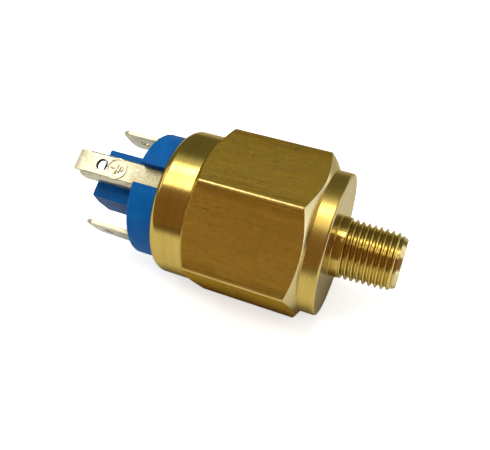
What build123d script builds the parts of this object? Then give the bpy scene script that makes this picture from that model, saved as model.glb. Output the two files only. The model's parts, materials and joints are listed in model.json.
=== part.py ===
from build123d import *
import math
import os

# Hex-bodied diaphragm pressure switch with a three-pole plug connector.
# Axis along X: the threaded inlet points to +X, the terminals to -X, +Z is up and one hex flat lies down.
# X = 0 is the seating face of the flange behind the inlet thread.  All sizes in millimetres.

# --- brass body, outside ---
hex_across_flats = 26.0
hex_edge_round = 0.5
hex_back_x = -21.5
hex_front_x = -4.35
collar_radius = 12.95
collar_end_x = -29.0
collar_start_x = -22.69
lip_round = 1.5
flange_radius = 12.3
flange_back_x = -2.785
flange_edge = 0.3
neck_radius = 5.2
neck_end_x = 1.5
thread_radius = 5.0
thread_pitch = 1.0
thread_depth = 0.6
thread_crest = 0.14
thread_root = 0.12
first_crest_x = 2.4
crest_count = 8
inlet_end_x = 11.06
inlet_end_radius = 4.1

# --- brass body, inside ---
inlet_bore = 2.0
snubber_radius = 1.8
snubber_seat_x = 1.6
passage_bore = 1.2
chamber_radius = 7.6
chamber_floor_x = -4.0
stack_floor_x = -6.0
main_bore = 10.6
shoulder_x = -24.0
crimp_bore = 12.05
lip_bore = 11.2
lip_inner_x = -27.25

# --- diaphragm stack ---
diaphragm_thickness = 0.8
shield_thickness = 0.15
guide_end_x = -11.6
pocket_radius = 6.05
pocket_end_x = -10.0
guide_bore = 3.05
sleeve_end_x = -22.0
sleeve_bore = 9.95
stack_radius = 10.55

# --- plunger and moving contact ---
piston_radius = 6.0
piston_face_x = -7.0
piston_back_x = -9.3
stem_radius = 3.0
stem_shoulder_x = -20.5
spigot_radius = 1.5
spigot_end_x = -25.2
carrier_radius = 4.6
carrier_thickness = 1.5
bridge_thickness = 0.5
bridge_half_length = 8.1
bridge_half_width = 2.0
washer_thickness = 0.6
contact_offset = 6.5
contact_radius = 1.25
rivet_radius = 0.7
contact_gap = 0.65

# --- range spring and adjuster ---
spring_mean_radius = 2.9
wire_radius = 0.4
spring_x = -33.0
active_turns = 5.0
seat_radius = 3.4
seat_thickness = 1.0
adjuster_bore = 3.45
nut_start_x = -34.75
nut_end_x = -39.5
screw_radius = 2.45
nut_bore = 2.5
screw_end_x = -39.0
insert_radius = 2.3
insert_end_x = -44.0
insert_start_x = -40.3
plug_screw_tap = 1.25

# --- terminal base and terminals ---
terminal_clocking = 31.0
base_radius = 11.1
base_top_x = -33.94
base_shoulder_radius = 11.98
base_foot_x = -25.0
post_half_width = 4.55
post_near = 4.36
post_far = -5.6
post_end_x = -44.75
post_near_end_x = -43.65
earth_slot_half = 1.82
blade_offset = 9.0
blade_thickness = 0.8
blade_width = 6.3
blade_tip_x = -44.0
blade_hole_x = -40.1
blade_hole_radius = 0.9
earth_face = 9.0
earth_half_width = 2.35
earth_depth = 3.2
earth_bend = 1.6
earth_corner = 0.4
earth_tip_x = -46.6
earth_tip_half = 1.87
earth_bevel_length = 1.05
earth_bevel_drop = 0.35
earth_flange_x = -45.45
earth_foot_x = -26.45
earth_hole_x = -41.45
earth_hole_radius = 1.1
emblem_x = -38.6
emblem_radius = 1.92
emblem_line = 0.3
emblem_height = 0.15
emblem_root = 0.6
emblem_stem = 1.1
emblem_bars = (1.0, 0.66, 0.32)
emblem_bar_spacing = 0.52


def rod(x0, x1, radius):
    """Solid cylinder along X between two stations."""
    low, high = sorted((x0, x1))
    return Pos((low + high) / 2, 0, 0) * Rot(0, 90, 0) * Cylinder(radius, high - low)


def tube(x0, x1, radius, bore):
    """Hollow cylinder along X."""
    return rod(x0, x1, radius) - rod(x0 - 1, x1 + 1, bore) if x0 < x1 else tube(x1, x0, radius, bore)


def block(x0, x1, y0, y1, z0, z1):
    """Rectangular block between six stations."""
    return Pos((x0 + x1) / 2, (y0 + y1) / 2, (z0 + z1) / 2) * Box(abs(x1 - x0), abs(y1 - y0), abs(z1 - z0))


def turned(points):
    """Solid of revolution about X from a closed outline of (x, radius) points."""
    outline = make_face(Polyline(*points, close=True))
    return revolve(outline, Axis.X, 360)


def clocked(part):
    """Turn a part of the terminal group to its angle about X; before this the earth terminal is at +Z."""
    return Rot(terminal_clocking, 0, 0) * part


def pin_at(y, z, x0, x1, radius):
    """Cylinder parallel to X at an offset."""
    return Pos(0, y, z) * rod(x0, x1, radius)


def thread_outline():
    """Crests and grooves from the neck to the end chamfer, as (x, radius) points."""
    root = thread_radius - thread_depth
    half_crest = thread_crest / 2
    half_root = thread_root / 2
    points = [(neck_end_x, neck_radius)]
    for i in range(crest_count):
        crest = first_crest_x + i * thread_pitch
        groove = crest - thread_pitch / 2
        points += [(groove - half_root, root), (groove + half_root, root)]
        points += [(crest - half_crest, thread_radius), (crest + half_crest, thread_radius)]
    return points


def make_body():
    vertex_radius = hex_across_flats / math.sqrt(3)
    bar = Polyline(
        (collar_end_x + lip_round, 0),
        (collar_end_x + lip_round, collar_radius),
        (collar_start_x, collar_radius),
        (hex_back_x, vertex_radius),
        (hex_front_x, vertex_radius),
        (flange_back_x, flange_radius),
        (-flange_edge, flange_radius),
        (0, flange_radius - flange_edge),
        (0, neck_radius),
        *thread_outline(),
        (inlet_end_x, inlet_end_radius),
        (inlet_end_x, 0),
        close=True,
    )
    blank = revolve(make_face(bar), Axis.X, 360)
    hexagon = RegularPolygon(vertex_radius, 6, rotation=0)
    hexagon = fillet(hexagon.vertices(), hex_edge_round)
    prism = Pos(-34, 0, 0) * (Plane.YZ * extrude(hexagon, 50))
    body = blank & prism
    lip = rod(collar_end_x, collar_end_x + lip_round, collar_radius)
    lip = fillet(lip.edges().filter_by(GeomType.CIRCLE).sort_by(Axis.X)[0], lip_round - 0.02)
    body += lip
    cavity = turned([
        (inlet_end_x + 1, 0),
        (inlet_end_x + 1, inlet_bore),
        (snubber_seat_x, inlet_bore),
        (snubber_seat_x, snubber_radius),
        (snubber_seat_x - 4.0, snubber_radius),
        (snubber_seat_x - 4.0, passage_bore),
        (chamber_floor_x, passage_bore),
        (chamber_floor_x, chamber_radius),
        (stack_floor_x, chamber_radius),
        (stack_floor_x, main_bore),
        (shoulder_x, main_bore),
        (shoulder_x, crimp_bore),
        (lip_inner_x, crimp_bore),
        (lip_inner_x, lip_bore),
        (collar_end_x - 1, lip_bore),
        (collar_end_x - 1, 0),
    ])
    return body - cavity


def make_snubber():
    """Press-in restrictor: a plug with a fine orifice and a slotted face."""
    plug = rod(snubber_seat_x - 4.0, snubber_seat_x, snubber_radius)
    plug -= rod(snubber_seat_x - 5, snubber_seat_x + 1, 0.35)
    plug -= block(snubber_seat_x - 0.7, snubber_seat_x + 1, -3, 3, -0.3, 0.3)
    return plug


def make_diaphragm():
    """Flat rubber disc with a bead on the pressure side."""
    disc = rod(stack_floor_x - diaphragm_thickness, stack_floor_x, stack_radius)
    bead = tube(stack_floor_x, stack_floor_x + 0.5, 7.2, 6.4)
    return disc + bead


def make_guide_plate():
    front = stack_floor_x - diaphragm_thickness - shield_thickness
    plate = rod(guide_end_x, front, stack_radius)
    plate -= rod(pocket_end_x, front + 1, pocket_radius)
    plate -= rod(guide_end_x - 1, front + 1, guide_bore)
    return chamfer(plate.edges().filter_by(GeomType.CIRCLE).sort_by(Axis.X)[0], 0.2)


def make_shield():
    """Thin slip foil between the diaphragm and the piston."""
    face = stack_floor_x - diaphragm_thickness
    return rod(face - shield_thickness, face, stack_radius)


def make_piston():
    piston = turned([
        (piston_face_x, 0),
        (piston_face_x, piston_radius - 0.3),
        (piston_face_x - 0.3, piston_radius),
        (piston_back_x, piston_radius),
        (piston_back_x, stem_radius),
        (stem_shoulder_x, stem_radius),
        (stem_shoulder_x, spigot_radius),
        (spigot_end_x + 0.3, spigot_radius),
        (spigot_end_x, spigot_radius - 0.3),
        (spigot_end_x, 0),
    ])
    return piston


def contact_planes():
    """Stations of the moving contact stack, from the stem's shoulder towards the terminals."""
    bridge_x = stem_shoulder_x - carrier_thickness
    washer_x = bridge_x - bridge_thickness
    cup_x = washer_x - washer_thickness
    return bridge_x, washer_x, cup_x


def make_carrier():
    bridge_x, washer_x, cup_x = contact_planes()
    carrier = rod(bridge_x, stem_shoulder_x, carrier_radius) + rod(cup_x, bridge_x, 2.2)
    carrier -= rod(cup_x - 1, stem_shoulder_x + 1, spigot_radius + 0.02)
    for side in (-1, 1):
        for end in (-1, 1):
            carrier += block(washer_x, bridge_x, end * 2.9, end * 3.8, side * 2.05, side * 2.55)
    return clocked(carrier)


def make_bridge():
    """Bridging strip that carries the two moving contacts."""
    bridge_x, washer_x, cup_x = contact_planes()
    strip = block(washer_x, bridge_x, -bridge_half_length, bridge_half_length, -bridge_half_width, bridge_half_width)
    strip = fillet(strip.edges().filter_by(Axis.X), 0.8)
    strip += rod(washer_x, bridge_x, 3.4)
    strip -= rod(washer_x - 1, bridge_x + 1, 2.22)
    for side in (-1, 1):
        strip -= pin_at(side * contact_offset, 0, washer_x - 1, bridge_x + 1, rivet_radius)
    return strip


def make_bridge_contacts():
    bridge_x, washer_x, cup_x = contact_planes()
    rivets = []
    for side in (-1, 1):
        y = side * contact_offset
        rivet = pin_at(y, 0, washer_x - 0.5, washer_x, contact_radius)
        rivet += pin_at(y, 0, washer_x, bridge_x, rivet_radius)
        rivet += pin_at(y, 0, bridge_x, bridge_x + 0.3, rivet_radius + 0.3)
        rivets.append(clocked(rivet))
    return Compound(children=rivets)


def make_insulating_washer():
    bridge_x, washer_x, cup_x = contact_planes()
    return tube(cup_x, washer_x, carrier_radius, 2.22)


def make_spring_cup():
    bridge_x, washer_x, cup_x = contact_planes()
    cup = rod(cup_x - 0.5, cup_x, 4.2) + tube(cup_x - 1.2, cup_x - 0.5, 4.2, 3.7)
    return cup - rod(cup_x - 2, cup_x + 1, spigot_radius + 0.02)


def make_stem_clip():
    """Push-on retaining ring with three slits."""
    bridge_x, washer_x, cup_x = contact_planes()
    clip = tube(cup_x - 1.1, cup_x - 0.5, 2.3, spigot_radius)
    for angle in (0, 120, 240):
        clip -= Rot(angle, 0, 0) * block(cup_x - 2, cup_x, -0.2, 0.2, 1.3, 2.0)
    return clip


def spring_point(turn, turns, start, end):
    """Centre line of the range spring: closed end coils and an open middle."""
    closed = 1.0
    lift_closed = 2 * wire_radius + 0.04
    open_rise = (end - start) - 2 * closed * lift_closed
    if turn < closed:
        x = start + turn * lift_closed
    elif turn > turns - closed:
        x = end - (turns - turn) * lift_closed
    else:
        x = start + closed * lift_closed + open_rise * (turn - closed) / (turns - 2 * closed)
    angle = 2 * math.pi * turn
    return (x, spring_mean_radius * math.cos(angle), spring_mean_radius * math.sin(angle))


def make_main_spring():
    bridge_x, washer_x, cup_x = contact_planes()
    start = spring_x + wire_radius + 0.02
    end = cup_x - 0.5 - wire_radius - 0.02
    turns = active_turns + 2
    steps = int(turns * 16)
    path = Spline(*[spring_point(i * turns / steps, turns, start, end) for i in range(steps + 1)])
    section = Plane(path @ 0, z_dir=path % 0) * Circle(wire_radius)
    return sweep(section, path, is_frenet=True)


def make_spring_seat():
    seat = rod(spring_x - seat_thickness, spring_x, seat_radius) + rod(spring_x, spring_x + 1.2, 2.2)
    return chamfer(seat.edges().filter_by(GeomType.CIRCLE).sort_by(Axis.X)[-1], 0.4)


def make_adjusting_screw():
    tip = spring_x - seat_thickness - 0.05
    screw = turned([
        (tip, 0),
        (tip, 1.6),
        (tip - 0.6, screw_radius - 0.3),
        (tip - 0.9, screw_radius),
        (screw_end_x + 0.3, screw_radius),
        (screw_end_x, screw_radius - 0.3),
        (screw_end_x, 0),
    ])
    return screw - block(screw_end_x - 1, screw_end_x + 0.9, -3, 3, -0.35, 0.35)


def make_adjuster_nut():
    nut = tube(nut_end_x, nut_start_x, adjuster_bore, nut_bore)
    for i in range(3):
        x = nut_end_x + 1.0 + i * 1.3
        nut -= tube(x, x + 0.4, adjuster_bore + 1, adjuster_bore - 0.25)
    return nut


def make_plug_insert():
    """Threaded insert for the plug's fixing screw."""
    insert = tube(insert_end_x, insert_start_x, insert_radius, plug_screw_tap)
    insert -= tube(-42.4, -41.9, insert_radius + 1, insert_radius - 0.3)
    return insert


def make_spacer_sleeve():
    return tube(sleeve_end_x, guide_end_x, stack_radius, sleeve_bore)


def post_profile():
    """Post beside the earth terminal: its end falls away on the earth side."""
    post = block(base_top_x + 1, post_end_x, -post_half_width, post_half_width, post_far, post_near)
    post = fillet(post.edges().filter_by(Axis.X), 0.5)
    slope = make_face(Polyline(
        (post_end_x, -0.5),
        (post_near_end_x, post_near),
        (post_near_end_x, post_near + 2),
        (post_end_x - 2, post_near + 2),
        (post_end_x - 2, -0.5),
        close=True,
    ))
    cutter = extrude(Plane.XZ * slope, 10, both=True)
    return post - cutter


def make_terminal_base():
    base = rod(base_top_x, lip_inner_x, base_radius)
    base = fillet(base.edges().filter_by(GeomType.CIRCLE).sort_by(Axis.X)[0], 0.35)
    base += rod(lip_inner_x, base_foot_x, base_shoulder_radius)
    base += tube(base_foot_x, sleeve_end_x, stack_radius, sleeve_bore)
    base += post_profile()
    base -= rod(nut_end_x - 0.1, base_foot_x + 1, adjuster_bore)
    base -= rod(nut_end_x, post_end_x - 1, insert_radius)
    half_blade = blade_width / 2
    for side in (-1, 1):
        inner = side * (blade_offset - blade_thickness / 2)
        outer = side * (blade_offset + blade_thickness / 2)
        base -= block(base_top_x - 1, base_foot_x + 1, inner, outer, -half_blade, half_blade)
        base -= pin_at(side * contact_offset, 0, base_foot_x + 1, base_foot_x - 0.35, rivet_radius + 0.35)
    slot_floor = earth_face - blade_thickness
    base -= block(base_top_x - 1, earth_foot_x, -earth_slot_half, earth_slot_half, slot_floor, 13)
    return clocked(base)


def make_base_seal():
    ring = Pos(-24.5, 0, 0) * Rot(0, 90, 0) * Torus(11.3, 0.48)
    return ring


def make_blade(side):
    """Flat contact blade with a rounded tip and an inturned foot."""
    inner = side * (blade_offset - blade_thickness / 2)
    outer = side * (blade_offset + blade_thickness / 2)
    half = blade_width / 2
    blade = block(blade_tip_x, -24.2, inner, outer, -half, half)
    tip_corners = blade.edges().filter_by(Axis.Y).group_by(Axis.X)[0]
    blade = fillet(tip_corners, 1.9)
    face_edges = blade.edges().group_by(Axis.X)[0]
    blade = chamfer(face_edges, 0.2)
    blade -= Pos(blade_hole_x, side * blade_offset, 0) * Rot(90, 0, 0) * Cylinder(blade_hole_radius, 3)
    blade += block(base_foot_x, -24.2, side * 5.0, inner, -2.0, 2.0)
    blade -= pin_at(side * contact_offset, 0, -26, -23, rivet_radius)
    return clocked(blade)


def make_fixed_contact(side):
    y = side * contact_offset
    rivet = pin_at(y, 0, -24.2, -24.2 + 0.55, contact_radius)
    rivet += pin_at(y, 0, base_foot_x, -24.2, rivet_radius)
    rivet += pin_at(y, 0, base_foot_x - 0.3, base_foot_x, rivet_radius + 0.3)
    return clocked(rivet)


def earth_emblem():
    """Raised ring with the earth sign: a stem and three shortening bars."""
    low = earth_face - emblem_root
    top = earth_face + emblem_height
    ring = Cylinder(emblem_radius, top - low) - Cylinder(emblem_radius - emblem_line, 1)
    emblem = Pos(emblem_x, 0, (low + top) / 2) * ring
    half_line = emblem_line / 2
    emblem += block(emblem_x - emblem_stem, emblem_x - 0.1, -half_line, half_line, earth_face - 0.1, top)
    for i, half in enumerate(emblem_bars):
        x = emblem_x - 0.15 + i * emblem_bar_spacing
        emblem += block(x, x + emblem_line, -half, half, earth_face - 0.1, top)
    return emblem


def make_earth_terminal():
    """Folded channel: a flat face with two sides turned in, a bevelled tip and a foot under the body's lip."""
    inner_half = earth_half_width - blade_thickness
    low = earth_face - earth_depth
    back = earth_face - blade_thickness
    channel = block(earth_flange_x, base_top_x - 0.1, -earth_half_width, earth_half_width, low, earth_face)
    channel = fillet(channel.edges().filter_by(Axis.X).group_by(Axis.Z)[-1], earth_bend)
    end_corners = channel.edges().filter_by(Axis.Y).group_by(Axis.Z)[0]
    channel = fillet(end_corners, earth_corner)
    channel -= block(-50, -30, -inner_half, inner_half, low - 1, back)
    flat_half = earth_slot_half - 0.04
    strip = block(earth_flange_x, earth_foot_x, -flat_half, flat_half, back, earth_face)
    tip = block(earth_tip_x, earth_flange_x + 1, -earth_tip_half, earth_tip_half, back, earth_face)
    tip = fillet(tip.edges().filter_by(Axis.Z).group_by(Axis.X)[0], 0.15)
    bevel = make_face(Polyline(
        (earth_tip_x - earth_bevel_length, earth_face - 2 * earth_bevel_drop),
        (earth_tip_x + earth_bevel_length, earth_face),
        (earth_tip_x + earth_bevel_length, earth_face + 1),
        (earth_tip_x - earth_bevel_length, earth_face + 1),
        close=True,
    ))
    tip -= extrude(Plane.XZ * bevel, 5, both=True)
    foot = block(lip_inner_x, earth_foot_x, -flat_half, flat_half, back, 11.7)
    terminal = channel + strip + tip + foot + earth_emblem()
    terminal -= Pos(earth_hole_x, 0, earth_face) * Cylinder(earth_hole_radius, 3)
    return clocked(terminal)


PARTS = {
    "body": make_body,
    "inlet_snubber": make_snubber,
    "diaphragm": make_diaphragm,
    "slip_foil": make_shield,
    "guide_plate": make_guide_plate,
    "spacer_sleeve": make_spacer_sleeve,
    "piston": make_piston,
    "contact_carrier": make_carrier,
    "contact_bridge": lambda: clocked(make_bridge()),
    "bridge_contacts": make_bridge_contacts,
    "insulating_washer": make_insulating_washer,
    "spring_cup": make_spring_cup,
    "stem_clip": make_stem_clip,
    "main_spring": make_main_spring,
    "spring_seat": make_spring_seat,
    "adjusting_screw": make_adjusting_screw,
    "adjuster_nut": make_adjuster_nut,
    "plug_insert": make_plug_insert,
    "terminal_base": make_terminal_base,
    "base_seal": make_base_seal,
    "blade_upper": lambda: make_blade(1),
    "blade_lower": lambda: make_blade(-1),
    "fixed_contact_upper": lambda: make_fixed_contact(1),
    "fixed_contact_lower": lambda: make_fixed_contact(-1),
    "earth_terminal": make_earth_terminal,
}


os.makedirs("parts", exist_ok=True)
for node, make in PARTS.items():
    export_step(make(), f"parts/{node}.step")
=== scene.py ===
import json
import math

import bmesh
import bpy
from mathutils import Matrix, Vector

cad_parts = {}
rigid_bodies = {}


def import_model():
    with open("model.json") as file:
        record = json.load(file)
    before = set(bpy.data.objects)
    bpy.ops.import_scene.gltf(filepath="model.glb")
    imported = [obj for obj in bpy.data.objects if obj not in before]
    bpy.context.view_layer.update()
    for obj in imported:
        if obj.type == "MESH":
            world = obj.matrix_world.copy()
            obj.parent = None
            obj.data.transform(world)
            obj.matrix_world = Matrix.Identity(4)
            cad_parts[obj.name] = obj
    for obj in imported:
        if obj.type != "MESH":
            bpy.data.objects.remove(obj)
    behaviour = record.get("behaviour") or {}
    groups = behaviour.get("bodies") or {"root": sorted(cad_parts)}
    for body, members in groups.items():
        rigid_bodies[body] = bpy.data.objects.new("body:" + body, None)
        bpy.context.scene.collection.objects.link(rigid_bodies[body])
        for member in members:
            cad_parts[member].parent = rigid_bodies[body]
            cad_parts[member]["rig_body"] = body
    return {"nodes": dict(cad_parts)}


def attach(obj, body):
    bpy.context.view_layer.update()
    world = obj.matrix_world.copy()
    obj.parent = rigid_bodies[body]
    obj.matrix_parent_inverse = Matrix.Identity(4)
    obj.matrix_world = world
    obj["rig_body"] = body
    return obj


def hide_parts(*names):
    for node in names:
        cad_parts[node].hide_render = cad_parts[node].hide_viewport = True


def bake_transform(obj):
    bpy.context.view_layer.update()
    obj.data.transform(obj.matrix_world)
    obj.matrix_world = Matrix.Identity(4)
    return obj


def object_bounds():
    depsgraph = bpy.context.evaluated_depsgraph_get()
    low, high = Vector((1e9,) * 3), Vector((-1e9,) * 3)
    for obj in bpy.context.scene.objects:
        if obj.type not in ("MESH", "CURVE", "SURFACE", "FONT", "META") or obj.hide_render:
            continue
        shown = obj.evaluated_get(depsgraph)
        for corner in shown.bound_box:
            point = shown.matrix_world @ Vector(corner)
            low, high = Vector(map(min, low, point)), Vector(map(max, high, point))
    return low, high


# Looks for a hex-bodied pressure switch.  The axis is X and the inlet thread points to +X.
# Lengths are in mm, except those of the studio's lamps and floor, which are in metres.
# Angles round the axis, in degrees, are counted from -Y towards +Z: hex flats face 90, 30, -30 and so on.

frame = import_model()
cad_low, cad_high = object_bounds()

MM = 0.001

# --- brass body ---
FLAT_DISTANCE = 13.0
HEX_EDGE_ROUND = 0.5
HEX_COLUMNS_BETWEEN = 17
COLLAR_RADIUS = 12.95
COLLAR_END = -29.0
LIP_ROUND = 1.5
LIP_BORE = 11.2
LIP_INNER = -27.25
LIP_BORE_ROUND = 0.15
CHAMFER_FOOT_X = -22.69
CHAMFER_SLOPE = 1.731
SHOULDER_X = -2.785
SHOULDER_SLOPE = 1.731
FLANGE_RADIUS = 12.3
FLANGE_EDGE = 0.3
NECK_RADIUS = 5.2
NECK_END = 1.5
NECK_FILLET = 0.15
INLET_END = 11.06
INLET_END_RADIUS = 4.1
INLET_CHAMFER_SLOPE = 0.528

# --- inlet thread, right-handed ---
PITCH = 1.0
THREAD_ROWS = 12
FIRST_CREST = 2.4
FIRST_CREST_ANGLE = 135.67
THREAD_DEPTH = 0.6
CREST_FLAT = 0.13  # as a share of half a pitch
FLANK_WIDTH = 0.74  # as a share of half a pitch
TURNS_BEFORE_CREST = 2.5
SPARE_TURNS = 5
THREAD_START_GAP = 0.001
THREAD_END_GAP = 0.06
TAPER = 1 / 32
TAPER_STATION = 7.56
CREST_RADIUS = 5.0
RUN_OUT_SLOPE = 1.4

# --- bores: (x, radius) from the inlet end to the crimped lip ---
BORE_OUTLINE = [
    (INLET_END, 2.3), (INLET_END - 0.3, 2.0), (1.6, 2.0), (1.6, 1.8), (-2.4, 1.8), (-2.4, 1.2),
    (-4.0, 1.2), (-4.0, 7.6), (-6.0, 7.6), (-6.0, 10.6), (-24.0, 10.6), (-24.0, 12.05), (LIP_INNER, 12.05),
]

# --- terminal group, turned about X ---
CLOCKING = 31.0
BLADE_OFFSET = 9.0
BLADE_THICKNESS = 0.8
BLADE_HALF_WIDTH = 3.15
BLADE_TIP = -44.1
BLADE_FOOT = -24.2
BLADE_TIP_ROUND = 1.7
BLADE_COIN_LENGTH = 0.6
BLADE_COIN_DEPTH = 0.22
BLADE_HOLE_X = -40.1
BLADE_HOLE_RADIUS = 0.9
BLADE_CORNER_STEPS = 8
BLADE_EDGE_ROUND = 0.06
BLADE_EDGE_ANGLE = 40
DRILL_LENGTH = 3.0

# --- range spring ---
SPRING_MEAN_RADIUS = 2.9
WIRE_RADIUS = 0.4
SPRING_START = -32.58
SPRING_END = -24.02
SPRING_TURNS = 7.0
SPRING_CLOSED_TURNS = 1.0
COIL_GAP = 0.04
STEPS_PER_TURN = 32
WIRE_SIDES = 12

# --- small rounded edges ---
WELD_DISTANCE = 1e-7
FLAT_WITHIN = 0.5
BEVEL_SEGMENTS = 2
NORMAL_WEIGHT = 80

# --- studio, in metres ---
LAMP_TARGET = Vector((-0.018, 0, 0))
FLOOR_SIZE = 2.0
FLOOR_GAP = 0.00002

# --- camera ---
CAMERA_PLACE = (11.239, -69.676, 69.934)
CAMERA_AZIMUTH = 21.780
CAMERA_ELEVATION = 43.587
CAMERA_ROLL = 0.863
LENS = 42.90
SENSOR_WIDTH = 36.0


def polar(x, radius, angle):
    """Point at a station along the axis, a radius and an angle, in metres."""
    t = math.radians(angle)
    return Vector((x, -radius * math.cos(t), radius * math.sin(t))) * MM


def clocked(point):
    """A point of the terminal group, given before the group is turned, in metres."""
    return Matrix.Rotation(math.radians(CLOCKING), 3, "X") @ Vector(point) * MM


def new_piece(name, bm, materials, body, replaced=()):
    """Finishes a bmesh as a piece that rides on a body, or on none."""
    bmesh.ops.recalc_face_normals(bm, faces=bm.faces)
    mesh = bpy.data.meshes.new(name)
    bm.to_mesh(mesh)
    bm.free()
    for polygon in mesh.polygons:
        polygon.use_smooth = True
    piece = bpy.data.objects.new(name, mesh)
    bpy.context.scene.collection.objects.link(piece)
    for material in materials:
        mesh.materials.append(material)
    if body:
        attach(piece, body)
    if replaced:
        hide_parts(*replaced)
    return piece


def soften(piece, width, angle):
    """Small rounded edges on a piece with flat faces."""
    weld = piece.modifiers.new("weld", "WELD")
    weld.merge_threshold = WELD_DISTANCE
    planar = piece.modifiers.new("planar", "DECIMATE")
    planar.decimate_type = "DISSOLVE"
    planar.angle_limit = math.radians(FLAT_WITHIN)
    bevel = piece.modifiers.new("bevel", "BEVEL")
    bevel.width = width * MM
    bevel.segments = BEVEL_SEGMENTS
    bevel.limit_method = "ANGLE"
    bevel.angle_limit = math.radians(angle)
    weighted = piece.modifiers.new("normals", "WEIGHTED_NORMAL")
    weighted.keep_sharp = True
    weighted.weight = NORMAL_WEIGHT


class Nodes:
    """A material's node tree with short calls for what the materials below share."""

    def __init__(self, name, metallic, roughness, color):
        self.material = bpy.data.materials.new(name)
        self.material.use_nodes = True
        self.tree = self.material.node_tree
        self.shader = self.tree.nodes["Principled BSDF"]
        self.shader.inputs["Metallic"].default_value = metallic
        self.shader.inputs["Roughness"].default_value = roughness
        self.shader.inputs["Base Color"].default_value = (*color, 1)
        place = self.tree.nodes.new("ShaderNodeTexCoord").outputs["Object"]
        self.mm = self.vector("SCALE", place, scale=1 / MM)

    def node(self, kind, **settings):
        made = self.tree.nodes.new(kind)
        for key, value in settings.items():
            setattr(made, key, value)
        return made

    def set(self, socket, value):
        if isinstance(value, bpy.types.NodeSocket):
            self.tree.links.new(value, socket)
        else:
            socket.default_value = value

    def vector(self, operation, a, b=None, scale=None):
        made = self.node("ShaderNodeVectorMath", operation=operation)
        self.set(made.inputs[0], a)
        if b is not None:
            self.set(made.inputs[1], b)
        if scale is not None:
            made.inputs["Scale"].default_value = scale
        return made.outputs[0]

    def math(self, operation, a, b=0.0, clamp=False):
        made = self.node("ShaderNodeMath", operation=operation, use_clamp=clamp)
        self.set(made.inputs[0], a)
        self.set(made.inputs[1], b)
        return made.outputs[0]

    def split(self, vector):
        made = self.node("ShaderNodeSeparateXYZ")
        self.set(made.inputs[0], vector)
        return made.outputs

    def join(self, x, y, z):
        made = self.node("ShaderNodeCombineXYZ")
        for socket, value in zip(made.inputs, (x, y, z)):
            self.set(socket, value)
        return made.outputs[0]

    def lathe_place(self):
        """Coordinates that change only along the axis and outwards: noise on them makes turning rings."""
        x, y, z = self.split(self.mm)
        radius = self.math("SQRT", self.math("ADD", self.math("MULTIPLY", y, y), self.math("MULTIPLY", z, z)))
        return self.join(x, radius, 0.0)

    def noise(self, place, scale, detail=3.0, roughness=0.5, distortion=0.0):
        made = self.node("ShaderNodeTexNoise")
        self.set(made.inputs["Vector"], place)
        made.inputs["Scale"].default_value = scale
        made.inputs["Detail"].default_value = detail
        made.inputs["Roughness"].default_value = roughness
        made.inputs["Distortion"].default_value = distortion
        return made.outputs["Fac"]

    def range(self, value, low, high, to_low, to_high):
        made = self.node("ShaderNodeMapRange")
        self.set(made.inputs["Value"], value)
        for key, number in (("From Min", low), ("From Max", high), ("To Min", to_low), ("To Max", to_high)):
            made.inputs[key].default_value = number
        return made.outputs[0]

    def mix(self, share, a, b):
        made = self.node("ShaderNodeMix", data_type="RGBA")
        self.set(made.inputs[0], share)
        for socket, value in ((made.inputs[6], a), (made.inputs[7], b)):
            self.set(socket, value if isinstance(value, bpy.types.NodeSocket) else (*value, 1))
        return made.outputs[2]

    def hairlines(self, place, scale, width, cover):
        """Thin curved scratches: the contour lines of a noise, kept only where a second noise is high."""
        line = self.math("ABSOLUTE", self.math("SUBTRACT", self.noise(place, scale, 2.0, 0.6, 0.8), 0.5))
        thin = self.range(line, 0.0, width, 1.0, 0.0)
        where = self.range(self.noise(place, scale * 0.6, 1.0), cover, cover + 0.08, 0.0, 1.0)
        return self.math("MULTIPLY", thin, where, clamp=True)

    def bump(self, height, distance, before=None):
        made = self.node("ShaderNodeBump")
        made.inputs["Distance"].default_value = distance * MM
        made.inputs["Strength"].default_value = 1.0
        self.set(made.inputs["Height"], height)
        if before is not None:
            self.set(made.inputs["Normal"], before)
        return made.outputs[0]

    def finish(self, color=None, roughness=None, normal=None):
        for key, value in (("Base Color", color), ("Roughness", roughness), ("Normal", normal)):
            if value is not None:
                self.set(self.shader.inputs[key], value)
        return self.material


BRASS = (0.47, 0.338, 0.080)
BRASS_DARK = (0.36, 0.25, 0.050)
BRASS_PALE = (0.56, 0.42, 0.13)
DRAWN_BRASS = (0.60, 0.395, 0.066)
DRAWN_DARK = (0.40, 0.25, 0.033)
DRAWN_PALE = (0.70, 0.52, 0.16)
DRAWN_EDGE_LINE = (0.22, 0.125, 0.015)
DRAWN_LINE = (0.20, 0.11, 0.012)
DRAWN_SCRATCH = (0.18, 0.10, 0.012)
DRAWN_EDGE_PALE = (0.66, 0.52, 0.22)
PALE_INLET_CHAMFER = (0.63, 0.57, 0.42)
PALE_THREAD = (0.62, 0.50, 0.19)
PALE_END_FACE = (0.58, 0.51, 0.35)
PALE_SHOULDER = (0.62, 0.54, 0.34)
BLUE_DEEP = (0.001, 0.078, 0.275)
BLUE_LIGHT = (0.002, 0.101, 0.335)
BLUE_MARK = (0.02, 0.18, 0.45)
BLUE_GRAIN = (0.001, 0.065, 0.235)


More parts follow.
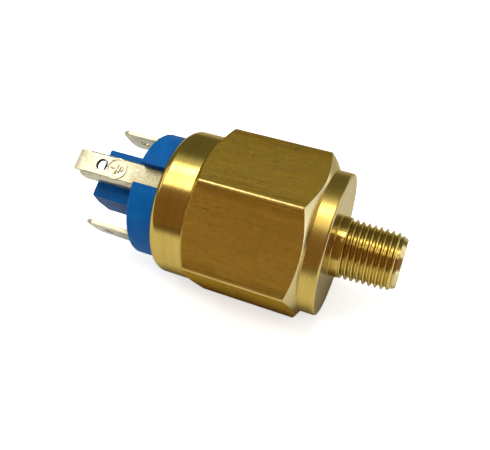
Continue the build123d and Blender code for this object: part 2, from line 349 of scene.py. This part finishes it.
def turned_brass():
    """Brass of the turned faces.

    It is paler on the inlet's chamfer, the thread, the flange's end face and the shoulder between the hex
    and the flange.  That stands in for glare in the photo.
    """
    n = Nodes("brass_turned", 1.0, 0.2, BRASS)
    n.shader.inputs["Specular Tint"].default_value = (0.92, 0.85, 0.62, 1)
    place = n.lathe_place()
    fine = n.noise(place, 11.0, 3.0, 0.6)
    wide = n.noise(place, 1.3, 3.0)
    cloud = n.noise(n.mm, 0.16, 4.0, 0.6, 0.6)
    x = n.split(n.mm)[0]
    specks = n.range(n.noise(n.mm, 3.5, 3.0, 0.6), 0.68, 0.78, 0.0, 1.0)
    tone = n.mix(n.range(wide, 0.35, 0.68, 0.0, 0.7), BRASS, BRASS_PALE)
    tone = n.mix(n.range(cloud, 0.42, 0.72, 0.0, 0.35), tone, BRASS_DARK)
    tone = n.mix(n.math("MULTIPLY", specks, 0.4), tone, BRASS_DARK)
    tone = n.mix(n.range(x, INLET_END - 0.95, INLET_END - 0.75, 0.0, 0.8), tone, PALE_INLET_CHAMFER)
    rough = n.range(n.math("ADD", fine, cloud), 0.6, 1.4, 0.13, 0.22)
    off_flange = n.math("ABSOLUTE", n.math("SUBTRACT", x, SHOULDER_X / 2))
    rough = n.math("ADD", rough, n.range(off_flange, 1.2, 1.6, 0.10, 0.0))
    from_thread = n.math("ABSOLUTE", n.math("SUBTRACT", x, (NECK_END + INLET_END) / 2))
    on_thread = n.range(from_thread, 4.4, 4.8, 0.6, 0.0)
    tone = n.mix(on_thread, tone, PALE_THREAD)
    radius = n.split(place)[1]
    end_face = n.math("MULTIPLY", n.range(x, -0.12, -0.04, 0.0, 0.6), n.range(radius, 5.4, 5.6, 0.0, 1.0))
    tone = n.mix(end_face, tone, PALE_END_FACE)
    shoulder = n.range(n.math("ABSOLUTE", n.math("SUBTRACT", x, SHOULDER_X - 0.75)), 0.6, 0.8, 0.6, 0.0)
    tone = n.mix(shoulder, tone, PALE_SHOULDER)
    normal = n.bump(specks, 0.0015, n.bump(fine, 0.0022))
    return n.finish(tone, rough, normal)


def drawn_brass():
    """Brass of the hex flats: draw lines along X, mottling, scratches, dark streaks near the hex edges and a
    paler tone on the rounded edges.
    """
    n = Nodes("brass_drawn", 1.0, 0.4, DRAWN_BRASS)
    n.shader.inputs["Specular Tint"].default_value = (0.78, 0.58, 0.30, 1)
    streak_place = n.vector("MULTIPLY", n.mm, (0.06, 1.0, 1.0))
    streaks = n.noise(streak_place, 1.9, 5.0, 0.6, 0.3)
    fine = n.noise(streak_place, 9.0, 3.0, 0.6)
    cloud = n.noise(n.mm, 0.15, 4.0, 0.6, 1.0)
    mottle = n.noise(n.vector("MULTIPLY", n.mm, (0.6, 1.0, 1.0)), 0.75, 6.0, 0.7, 0.8)
    speckle = n.noise(n.mm, 2.2, 4.0, 0.7, 0.4)
    groove_place = n.vector("MULTIPLY", n.mm, (0.035, 1.0, 1.0))
    fading = n.range(n.noise(n.vector("MULTIPLY", n.mm, (0.12, 0.3, 0.3)), 1.0, 2.0), 0.44, 0.56, 0.15, 1.0)
    drawn = n.range(n.noise(groove_place, 1.3, 6.0, 0.8, 0.2), 0.55, 0.62, 0.0, 1.0)
    lines = n.math("MULTIPLY", drawn, fading)
    scratches = n.hairlines(n.vector("MULTIPLY", n.mm, (0.5, 1.0, 1.0)), 0.55, 0.006, 0.46)
    radius = n.split(n.lathe_place())[1]
    # dark streaks along X near the hex edges
    edge = n.range(radius, 14.0, 14.6, 0.0, 1.0)
    edge_lines = n.math("MULTIPLY", edge, n.range(n.noise(groove_place, 2.3, 4.0, 0.7), 0.40, 0.60, 0.2, 1.0))
    # paler tone on the rounded hex edges
    worn = n.range(radius, 14.78, 14.84, 0.0, 1.0)
    tone = n.mix(n.range(streaks, 0.32, 0.62, 0.45, 1.0), DRAWN_DARK, DRAWN_BRASS)
    tone = n.mix(n.range(mottle, 0.34, 0.54, 0.5, 0.0), tone, DRAWN_PALE)
    tone = n.mix(n.range(cloud, 0.42, 0.66, 0.0, 0.65), tone, DRAWN_DARK)
    tone = n.mix(n.range(speckle, 0.48, 0.64, 0.0, 0.45), tone, DRAWN_DARK)
    tone = n.mix(n.math("MULTIPLY", edge_lines, 0.55), tone, DRAWN_EDGE_LINE)
    tone = n.mix(n.math("MULTIPLY", lines, 0.5), tone, DRAWN_LINE)
    tone = n.mix(n.math("MULTIPLY", scratches, 0.6), tone, DRAWN_SCRATCH)
    tone = n.mix(n.math("MULTIPLY", worn, 0.6), tone, DRAWN_EDGE_PALE)
    rough = n.range(n.math("ADD", mottle, cloud), 0.7, 1.3, 0.33, 0.50)
    relief = n.bump(lines, 0.009, n.bump(mottle, 0.040))
    relief = n.bump(scratches, 0.008, n.bump(speckle, 0.012, relief))
    return n.finish(tone, rough, n.bump(fine, 0.002, n.bump(streaks, 0.004, relief)))


def moulded_blue():
    n = Nodes("plastic_blue", 0.0, 0.5, (0.001, 0.087, 0.31))
    n.shader.inputs["Specular IOR Level"].default_value = 0.07
    grain = n.noise(n.mm, 7.0, 4.0, 0.6)
    cloud = n.noise(n.mm, 0.35, 3.0, 0.5, 0.4)
    marks = n.hairlines(n.mm, 0.8, 0.008, 0.52)
    tone = n.mix(n.range(cloud, 0.35, 0.7, 0.0, 1.0), BLUE_DEEP, BLUE_LIGHT)
    tone = n.mix(n.math("MULTIPLY", marks, 0.25), tone, BLUE_MARK)
    tone = n.mix(n.range(grain, 0.55, 0.75, 0.0, 0.35), tone, BLUE_GRAIN)
    rough = n.range(grain, 0.3, 0.7, 0.40, 0.58)
    return n.finish(tone, rough, n.bump(marks, 0.004, n.bump(cloud, 0.02, n.bump(grain, 0.006))))


def plated(name, color, dull, roughness):
    """Plated strip: faint streaks along X, and towards the base a stronger grain and a darker tone."""
    n = Nodes(name, 1.0, roughness, color)
    streaks = n.noise(n.vector("MULTIPLY", n.mm, (0.1, 1.0, 1.0)), 5.0, 4.0, 0.6)
    grain = n.noise(n.mm, 2.4, 4.0, 0.75)
    patches = n.noise(n.mm, 0.7, 4.0, 0.6, 0.5)
    x = n.split(n.mm)[0]
    near_base = n.range(x, -38.0, -35.0, 0.2, 1.0)
    # darker towards the base
    darker_to_base = n.range(x, -36.0, -31.0, 0.0, 0.8)
    grain_height = n.math("MULTIPLY", grain, near_base)
    tone = n.mix(n.range(patches, 0.4, 0.75, 0.0, 0.7), color, dull)
    tone = n.mix(n.math("MULTIPLY", n.range(grain, 0.46, 0.56, 0.1, 1.0), near_base), tone, dull)
    tone = n.mix(darker_to_base, tone, [0.62 * value for value in dull])
    rough = n.range(patches, 0.3, 0.7, roughness - 0.05, roughness + 0.07)
    return n.finish(tone, rough, n.bump(streaks, 0.002, n.bump(grain_height, 0.07)))


def plain_metal(name, color, dull, roughness, along=1.0):
    n = Nodes(name, 1.0, roughness, color)
    grain = n.noise(n.vector("MULTIPLY", n.mm, (along, 1.0, 1.0)), 6.0, 4.0, 0.6)
    cloud = n.noise(n.mm, 0.6, 3.0)
    tone = n.mix(n.range(cloud, 0.35, 0.7, 0.0, 1.0), color, dull)
    rough = n.range(grain, 0.3, 0.7, roughness - 0.06, roughness + 0.08)
    return n.finish(tone, rough, n.bump(grain, 0.003))


def plain_soft(name, color, worn, roughness):
    n = Nodes(name, 0.0, roughness, color)
    grain = n.noise(n.mm, 8.0, 4.0, 0.6)
    cloud = n.noise(n.mm, 0.5, 3.0)
    tone = n.mix(n.range(cloud, 0.35, 0.7, 0.0, 1.0), color, worn)
    rough = n.range(grain, 0.3, 0.7, roughness - 0.06, roughness + 0.08)
    return n.finish(tone, rough, n.bump(grain, 0.004))


TURNED = turned_brass()
DRAWN = drawn_brass()
BLUE = moulded_blue()
TIN = plated("tin_plate", (0.51, 0.485, 0.375), (0.37, 0.34, 0.21), 0.31)
STEEL = plain_metal("zinc_steel", (0.62, 0.62, 0.60), (0.45, 0.44, 0.40), 0.34)
SPRING_STEEL = plain_metal("spring_steel", (0.42, 0.42, 0.43), (0.28, 0.28, 0.30), 0.3)
COPPER = plain_metal("copper_strip", (0.80, 0.42, 0.25), (0.62, 0.30, 0.17), 0.3, 0.2)
SILVER = plain_metal("contact_silver", (0.88, 0.87, 0.83), (0.70, 0.68, 0.62), 0.28)
FOIL = plain_soft("slip_foil", (0.55, 0.35, 0.08), (0.45, 0.27, 0.05), 0.35)
RUBBER = plain_soft("diaphragm_rubber", (0.02, 0.02, 0.021), (0.035, 0.035, 0.035), 0.6)
SEAL = plain_soft("seal_rubber", (0.018, 0.018, 0.018), (0.03, 0.03, 0.03), 0.5)
CARRIER = plain_soft("carrier_plastic", (0.75, 0.72, 0.62), (0.62, 0.58, 0.47), 0.5)


def hex_columns():
    """The body's mesh columns: the angle, the hex radius there, and the angle that the surface faces."""
    centre = (FLAT_DISTANCE - HEX_EDGE_ROUND) / math.cos(math.radians(30))
    arc = []
    for normal in (-30, -20, -10, 0, 10, 20, 30):
        t = math.radians(normal)
        along, across = centre + HEX_EDGE_ROUND * math.cos(t), HEX_EDGE_ROUND * math.sin(t)
        arc.append((math.degrees(math.atan2(across, along)), math.hypot(along, across), normal))
    columns = []
    for corner in range(0, 360, 60):
        columns += [(corner + angle, radius, corner + facing) for angle, radius, facing in arc]
        first, last = arc[-1][0], 60 + arc[0][0]
        for i in range(1, HEX_COLUMNS_BETWEEN):
            angle = first + (last - first) * i / HEX_COLUMNS_BETWEEN
            columns.append((corner + angle, FLAT_DISTANCE / math.cos(math.radians(30 - angle)), corner + 30))
    return columns


def thread_radius(x, angle):
    """Radius of the thread's surface, with its run-out at the neck and the chamfer at the inlet's end."""
    crest = CREST_RADIUS + (TAPER_STATION - x) * TAPER
    turn = (x - FIRST_CREST) / PITCH + (angle - FIRST_CREST_ANGLE) / 360
    away = abs(turn - round(turn)) * 2
    depth = THREAD_DEPTH * min(1.0, max(0.0, (away - CREST_FLAT) / FLANK_WIDTH))
    run_out = NECK_RADIUS - (x - NECK_END) * RUN_OUT_SLOPE
    chamfer = INLET_END_RADIUS + (INLET_END - x) * INLET_CHAMFER_SLOPE
    return min(chamfer, NECK_RADIUS, max(run_out, crest - depth))


def thread_stations(angle):
    """Stations of the thread's rows at one angle.  Rows follow the helix, spare ones wait at the ends."""
    start = FIRST_CREST - TURNS_BEFORE_CREST * PITCH - PITCH * (angle - FIRST_CREST_ANGLE) / 360
    count = int((INLET_END - NECK_END) / PITCH + SPARE_TURNS) * THREAD_ROWS
    low, high = NECK_END + THREAD_START_GAP, INLET_END - THREAD_END_GAP
    return [min(high, max(low, start + PITCH * i / THREAD_ROWS)) for i in range(count)]


def arc_points(x, radius, size, start, end, steps):
    """Points (x, radius) on an arc; angles from +X towards outwards, in degrees."""
    turns = [math.radians(start + (end - start) * i / steps) for i in range(steps + 1)]
    return [(x + size * math.cos(t), radius + size * math.sin(t)) for t in turns]


def body_outline(angle, hex_radius):
    """The body's closed outline at one angle: (x, radius, finish) points before, in and after the thread."""
    left = CHAMFER_FOOT_X + (hex_radius - COLLAR_RADIUS) / CHAMFER_SLOPE
    right = SHOULDER_X - (hex_radius - FLANGE_RADIUS) / SHOULDER_SLOPE
    nib = min(0.06, 0.4 * (left - CHAMFER_FOOT_X))
    before = [(LIP_INNER, LIP_BORE, 0), (COLLAR_END + 0.18, LIP_BORE, 0)]
    before += [
        (x, r, 0)
        for x, r in arc_points(
            COLLAR_END + LIP_BORE_ROUND, LIP_BORE + LIP_BORE_ROUND, LIP_BORE_ROUND, 270, 180, 2
        )
    ]
    before += [
        (x, r, 0)
        for x, r in arc_points(COLLAR_END + LIP_ROUND, COLLAR_RADIUS - LIP_ROUND, LIP_ROUND, 180, 90, 10)
    ]
    before += [
        (CHAMFER_FOOT_X - 0.1, COLLAR_RADIUS, 0),
        (CHAMFER_FOOT_X, COLLAR_RADIUS, 0),
        (left - nib, hex_radius - nib * CHAMFER_SLOPE, 0),
        (left + 0.07, hex_radius, 1),
        (left + 0.22, hex_radius, 1),
        (right - 0.22, hex_radius, 1),
        (right - 0.06, hex_radius, 0),
        (right + 0.05, hex_radius - 0.05 * SHOULDER_SLOPE, 0),
        (SHOULDER_X - 0.03, FLANGE_RADIUS + 0.07, 0),
        (SHOULDER_X + 0.05, FLANGE_RADIUS, 0),
        (-FLANGE_EDGE - 0.1, FLANGE_RADIUS, 0),
        (-FLANGE_EDGE, FLANGE_RADIUS, 0),
        (-FLANGE_EDGE * 0.3, FLANGE_RADIUS - FLANGE_EDGE * 0.3, 0),
        (0, FLANGE_RADIUS - FLANGE_EDGE, 0),
        (0, FLANGE_RADIUS - FLANGE_EDGE - 0.1, 0),
        (0, NECK_RADIUS + 0.25, 0),
    ]
    before += [
        (x, r, 0) for x, r in arc_points(NECK_FILLET, NECK_RADIUS + NECK_FILLET, NECK_FILLET, 180, 270, 3)
    ]
    before += [(NECK_END - 0.1, NECK_RADIUS, 0)]
    thread = [(x, thread_radius(x, angle), 0) for x in thread_stations(angle)]
    after = [
        (INLET_END, INLET_END_RADIUS - THREAD_END_GAP, 0),
        (INLET_END, INLET_END_RADIUS - 0.12, 0),
        *[(x, r, 0) for x, r in BORE_OUTLINE],
    ]
    return before, thread, after


def outline_normals(points, angle, facing, hex_radius):
    """Outward normals at the (x, radius) points of a closed outline, square to the line between neighbours."""
    normals = []
    for i, (x, radius) in enumerate(points):
        before, after = points[i - 1], points[(i + 1) % len(points)]
        along, outward = before[1] - after[1], after[0] - before[0]
        t = math.radians(facing if radius == hex_radius else angle)
        normals.append(Vector((along, -outward * math.cos(t), outward * math.sin(t))).normalized())
    return normals


def make_body():
    """The brass body as a column of its outline at each angle.  The thread's rows gain a pitch each turn."""
    bm = bmesh.new()
    columns, normals = [], []
    for angle, hex_radius, facing in hex_columns():
        before, thread, after = body_outline(angle, hex_radius)
        made, points, last = [], [], None
        for x, radius, finish in before + thread + after:
            key = (round(x, 5), round(radius, 5))
            if last is None or key != last[0]:
                last = (key, bm.verts.new(polar(x, radius, angle)))
                points.append((x, radius))
            made.append((last[1], finish))
        columns.append(made)
        normals += outline_normals(points, angle, facing, hex_radius)
    lead, threads = len(before), len(thread)
    total = len(columns[0])
    for i, here in enumerate(columns):
        there = columns[(i + 1) % len(columns)]
        seam = i == len(columns) - 1
        for row in range(total):
            after_row = (row + 1) % total
            ahead, after_ahead = row, after_row
            if seam and lead <= row < lead + threads:
                # columns run against the helix, so the first column's rows are a pitch further on
                ahead = max(lead, row - THREAD_ROWS)
                after_ahead = ahead if row - THREAD_ROWS < lead else ahead + 1
                if row == lead + threads - 1:
                    after_ahead = after_row
            corners = []
            for vert in (here[row][0], here[after_row][0], there[after_ahead][0], there[ahead][0]):
                if vert not in corners:
                    corners.append(vert)
            if len(corners) < 3:
                continue
            face = bm.faces.new(corners)
            face.material_index = here[row][1]
    piece = new_piece("switch_body", bm, [TURNED, DRAWN], "housing", ["body"])
    piece.data.normals_split_custom_set_from_vertices(normals)


make_body()


def blade_outline(inset_tip):
    """Outline of a flat blade as (x, across) points: rounded tip corners, straight foot."""
    half = BLADE_HALF_WIDTH
    points = [(BLADE_FOOT, -half)]
    for corner in (-1, 1):
        centre = (BLADE_TIP + BLADE_TIP_ROUND, corner * (half - BLADE_TIP_ROUND))
        for i in range(BLADE_CORNER_STEPS + 1):
            t = math.radians(i * 90 / BLADE_CORNER_STEPS)
            size = BLADE_TIP_ROUND - inset_tip * (math.sin(t) if corner < 0 else math.cos(t))
            if corner < 0:
                points.append((centre[0] - size * math.sin(t), centre[1] - size * math.cos(t)))
            else:
                points.append((centre[0] - size * math.cos(t), centre[1] + size * math.sin(t)))
    points.append((BLADE_FOOT, half))
    return points


def make_blade(name, node, side):
    """Contact blade with a coined lead-in round its tip and a hole.  Its foot is straight."""
    bm = bmesh.new()
    half = BLADE_THICKNESS / 2
    layers = []
    flank = half - BLADE_COIN_DEPTH
    for level, inset in ((-half, BLADE_COIN_LENGTH), (-flank, 0.0), (flank, 0.0), (half, BLADE_COIN_LENGTH)):
        y = side * BLADE_OFFSET + level
        layers.append([bm.verts.new(clocked((x, y, z))) for x, z in blade_outline(inset)])
    for low, high in zip(layers, layers[1:]):
        for i in range(len(low)):
            j = (i + 1) % len(low)
            bm.faces.new((low[i], low[j], high[j], high[i]))
    bm.faces.new(layers[0])
    bm.faces.new(layers[-1])
    piece = new_piece(name, bm, [TIN], "housing", [node])
    drill(piece, clocked((BLADE_HOLE_X, side * BLADE_OFFSET, 0)), BLADE_HOLE_RADIUS, DRILL_LENGTH)
    soften(piece, BLADE_EDGE_ROUND, BLADE_EDGE_ANGLE)


def drill(piece, place, radius, length):
    """Cuts a round hole across the terminal group's Y."""
    cutter_mesh = bpy.data.meshes.new("cutter")
    bm = bmesh.new()
    turn = Matrix.Rotation(math.radians(CLOCKING), 4, "X") @ Matrix.Rotation(math.radians(90), 4, "X")
    bmesh.ops.create_cone(
        bm, cap_ends=True, segments=48, radius1=radius * MM, radius2=radius * MM, depth=length * MM,
        matrix=Matrix.Translation(place) @ turn,
    )
    bm.to_mesh(cutter_mesh)
    bm.free()
    cutter = bpy.data.objects.new("cutter", cutter_mesh)
    bpy.context.scene.collection.objects.link(cutter)
    cut = piece.modifiers.new("hole", "BOOLEAN")
    cut.operation = "DIFFERENCE"
    cut.solver = "EXACT"
    cut.object = cutter
    bpy.context.view_layer.update()
    shaped = bpy.data.meshes.new_from_object(piece.evaluated_get(bpy.context.evaluated_depsgraph_get()))
    piece.modifiers.clear()
    piece.data = shaped
    bpy.data.objects.remove(cutter)


make_blade("blade_tab_upper", "blade_upper", 1)
make_blade("blade_tab_lower", "blade_lower", -1)


def from_cad(name, node, material, width, angle):
    """A softened copy of a CAD node's mesh that stands for it."""
    bm = bmesh.new()
    bm.from_mesh(frame["nodes"][node].data)
    bmesh.ops.remove_doubles(bm, verts=bm.verts, dist=WELD_DISTANCE)
    piece = new_piece(name, bm, [material], frame["nodes"][node]["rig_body"], [node])
    soften(piece, width, angle)


from_cad("terminal_moulding", "terminal_base", BLUE, 0.12, 35)
from_cad("earth_tab", "earth_terminal", TIN, 0.05, 40)


def spring_centre(turn):
    """Centre line of the range spring: closed end coils and an open middle."""
    lift = 2 * WIRE_RADIUS + COIL_GAP
    rise = SPRING_END - SPRING_START - 2 * SPRING_CLOSED_TURNS * lift
    if turn < SPRING_CLOSED_TURNS:
        x = SPRING_START + turn * lift
    elif turn > SPRING_TURNS - SPRING_CLOSED_TURNS:
        x = SPRING_END - (SPRING_TURNS - turn) * lift
    else:
        share = (turn - SPRING_CLOSED_TURNS) / (SPRING_TURNS - 2 * SPRING_CLOSED_TURNS)
        x = SPRING_START + SPRING_CLOSED_TURNS * lift + rise * share
    t = math.tau * turn
    return Vector((x, SPRING_MEAN_RADIUS * math.cos(t), SPRING_MEAN_RADIUS * math.sin(t)))


def make_spring_half(name, first_turn, last_turn):
    """One half of the range spring: round wire along the centre line between two turns."""
    bm = bmesh.new()
    steps = int((last_turn - first_turn) * STEPS_PER_TURN)
    rings = []
    for i in range(steps + 1):
        turn = first_turn + (last_turn - first_turn) * i / steps
        point = spring_centre(turn)
        ahead = spring_centre(min(turn + 0.01, SPRING_TURNS)) - spring_centre(max(turn - 0.01, 0.0))
        out = Vector((0, point.y, point.z)).normalized()
        side = ahead.normalized().cross(out).normalized()
        ring = []
        for k in range(WIRE_SIDES):
            t = math.tau * k / WIRE_SIDES
            ring.append(bm.verts.new((point + WIRE_RADIUS * (math.cos(t) * out + math.sin(t) * side)) * MM))
        rings.append(ring)
    for low, high in zip(rings, rings[1:]):
        for k in range(WIRE_SIDES):
            after = (k + 1) % WIRE_SIDES
            bm.faces.new((low[k], low[after], high[after], high[k]))
    bm.faces.new(rings[0])
    bm.faces.new(rings[-1])
    return new_piece(name, bm, [SPRING_STEEL], None, ["main_spring"])


def make_spring():
    """The range spring in two halves, one from the seat end and one from the cup end.  Neither half is
    attached to a body.
    """
    half = make_spring_half("range_spring_seat_half", 0.0, SPRING_TURNS / 2)
    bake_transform(half)
    half = make_spring_half("range_spring_cup_half", SPRING_TURNS / 2, SPRING_TURNS)
    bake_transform(half)


make_spring()

CARRIED_OVER = {
    "inlet_snubber": TURNED,
    "diaphragm": RUBBER,
    "slip_foil": FOIL,
    "guide_plate": TURNED,
    "spacer_sleeve": TURNED,
    "piston": TURNED,
    "contact_carrier": CARRIER,
    "contact_bridge": COPPER,
    "bridge_contacts": SILVER,
    "insulating_washer": CARRIER,
    "spring_cup": STEEL,
    "stem_clip": STEEL,
    "spring_seat": STEEL,
    "adjusting_screw": STEEL,
    "adjuster_nut": TURNED,
    "plug_insert": TURNED,
    "base_seal": SEAL,
    "fixed_contact_upper": SILVER,
    "fixed_contact_lower": SILVER,
}
for node, material in CARRIED_OVER.items():
    carried = frame["nodes"][node]
    carried.data.materials.clear()
    carried.data.materials.append(material)


def area_light(name, place, size_x, size_y, radiance, color):
    """Soft rectangular lamp that faces the object."""
    lamp = bpy.data.lights.new(name, "AREA")
    lamp.shape = "RECTANGLE"
    lamp.size, lamp.size_y = size_x, size_y
    lamp.energy = radiance * math.pi * size_x * size_y
    lamp.color = color
    placed = bpy.data.objects.new(name, lamp)
    back = (Vector(place) - LAMP_TARGET).normalized()
    across = Vector((1, 0, 0))
    if abs(back.x) > 0.6:
        across = Vector((0, 1, 0))
    across = (across - across.dot(back) * back).normalized()
    turn = Matrix((across, back.cross(across), back)).transposed().to_4x4()
    placed.matrix_world = Matrix.Translation(place) @ turn
    bpy.context.scene.collection.objects.link(placed)


def make_world():
    """Plain studio, by kind of ray: white for the camera, grey for fill, and for reflections a dim room.

    The room is warmer in front, with a bright band overhead and behind the object.
    """
    world = bpy.data.worlds.new("studio")
    bpy.context.scene.world = world
    world.use_nodes = True
    tree = world.node_tree

    def step(value, low, high):
        made = tree.nodes.new("ShaderNodeMapRange")
        made.interpolation_type = "SMOOTHSTEP"
        tree.links.new(value, made.inputs["Value"])
        made.inputs["From Min"].default_value = low
        made.inputs["From Max"].default_value = high
        return made.outputs[0]

    def product(a, b):
        made = tree.nodes.new("ShaderNodeMath")
        made.operation = "MULTIPLY"
        tree.links.new(a, made.inputs[0])
        tree.links.new(b, made.inputs[1])
        return made.outputs[0]

    def mix(share, a, b):
        made = tree.nodes.new("ShaderNodeMix")
        made.data_type = "RGBA"
        tree.links.new(share, made.inputs[0])
        for socket, value in ((made.inputs[6], a), (made.inputs[7], b)):
            if isinstance(value, bpy.types.NodeSocket):
                tree.links.new(value, socket)
            else:
                socket.default_value = (*value, 1)
        return made.outputs[2]

    split = tree.nodes.new("ShaderNodeSeparateXYZ")
    tree.links.new(tree.nodes.new("ShaderNodeTexCoord").outputs["Generated"], split.inputs[0])
    y, z = split.outputs["Y"], split.outputs["Z"]
    room = mix(step(y, -0.6, 0.5), (0.32, 0.185, 0.082), (0.20, 0.19, 0.115))
    band = product(step(y, -0.05, 0.20), step(y, 0.50, 0.30))
    glow = mix(product(step(z, 0.62, 0.96), band), room, (0.85, 0.92, 0.80))
    path = tree.nodes.new("ShaderNodeLightPath")
    backdrop = mix(path.outputs["Is Camera Ray"], (0.60, 0.60, 0.60), (0.98, 0.98, 0.98))
    background = tree.nodes["Background"]
    tree.links.new(mix(path.outputs["Is Glossy Ray"], backdrop, glow), background.inputs["Color"])
    background.inputs["Strength"].default_value = 1.0


def make_floor():
    """Paper floor: plain and bright for the camera.  For every other ray it has a painted shadow behind and
    under the object, a dark warm zone far in front painted for the reflections, and a painted glow to the
    right.
    """
    bm = bmesh.new()
    bmesh.ops.create_grid(bm, x_segments=8, y_segments=8, size=FLOOR_SIZE)
    mesh = bpy.data.meshes.new("studio_floor")
    bm.to_mesh(mesh)
    bm.free()
    floor = bpy.data.objects.new("studio_floor", mesh)
    floor.location.z = cad_low.z - FLOOR_GAP
    bpy.context.scene.collection.objects.link(floor)
    n = Nodes("floor_paper", 0.0, 0.9, (0.9, 0.9, 0.9))
    n.shader.inputs["Specular IOR Level"].default_value = 0.0
    paper = n.mix(n.noise(n.mm, 0.01, 2.0), (0.90, 0.90, 0.90), (0.91, 0.91, 0.91))
    x, y = n.split(n.mm)[:2]
    # painted shadow behind the object: the floor darkens away from the front, for reflections and fill only
    away = n.range(y, -20.0, 60.0, 0.0, 1.0)
    painted_floor_shade = n.mix(away, (0.90, 0.90, 0.87), (0.50, 0.48, 0.41))
    # dark warm zone far in front, painted for the brass's reflections
    painted_floor_shade = n.mix(n.range(y, -75.0, -130.0, 0.0, 1.0), painted_floor_shade, (0.20, 0.14, 0.07))
    # painted shadow under the object
    shade = n.range(n.math("ABSOLUTE", y), 16.0, 9.0, 0.0, 1.0)
    off_middle = n.math("ABSOLUTE", n.math("ADD", x, 15.0))
    shade = n.math("MULTIPLY", shade, n.range(off_middle, 15.0, 18.0, 1.0, 0.0))
    painted_floor_shade = n.mix(shade, painted_floor_shade, (0.38, 0.34, 0.24))
    seen = n.node("ShaderNodeLightPath").outputs["Is Camera Ray"]
    # painted glow to the right of the object, bluish, seen only by reflection and fill rays: the floor there
    # glows though it is no lamp
    painted_glow_right = n.math("MULTIPLY", n.range(x, 50.0, 110.0, 0.0, 1.3), n.math("SUBTRACT", 1.0, seen))
    n.set(n.shader.inputs["Emission Strength"], n.math("ADD", n.math("MULTIPLY", seen, 0.55), painted_glow_right))
    n.set(n.shader.inputs["Emission Color"], n.mix(seen, (0.80, 0.88, 1.0), (1.0, 1.0, 1.0)))
    mesh.materials.append(n.finish(n.mix(seen, painted_floor_shade, paper)))


def make_camera():
    azimuth, elevation, roll = (math.radians(v) for v in (CAMERA_AZIMUTH, CAMERA_ELEVATION, CAMERA_ROLL))
    back = Vector((
        math.sin(azimuth) * math.cos(elevation), -math.cos(azimuth) * math.cos(elevation), math.sin(elevation)
    ))
    right = Vector((math.cos(azimuth), math.sin(azimuth), 0))
    up = back.cross(right)
    right, up = math.cos(roll) * right + math.sin(roll) * up, math.cos(roll) * up - math.sin(roll) * right
    lens = bpy.data.cameras.new("camera")
    lens.lens = LENS
    lens.sensor_width = SENSOR_WIDTH
    lens.sensor_fit = "HORIZONTAL"
    lens.clip_start, lens.clip_end = 0.005, 20.0
    camera = bpy.data.objects.new("camera", lens)
    turn = Matrix((right, up, back)).transposed().to_4x4()
    camera.matrix_world = Matrix.Translation(Vector(CAMERA_PLACE) * MM) @ turn
    bpy.context.scene.collection.objects.link(camera)
    bpy.context.scene.camera = camera


make_world()
make_floor()
area_light("softbox_over", (-0.100, 0.010, 0.48), 0.34, 0.125, 7.5, (1.0, 0.98, 0.94))
area_light("softbox_front", (-0.205, -0.141, 0.43), 0.30, 0.141, 4.2, (1.0, 0.98, 0.93))
area_light("softbox_right", (0.420, 0.150, 0.22), 0.42, 0.26, 1.4, (1.0, 0.98, 0.95))
area_light("softbox_left", (-0.430, -0.040, 0.25), 0.22, 0.22, 1.6, (1.0, 0.97, 0.92))
make_camera()
bpy.context.scene.view_settings.view_transform = "Standard"
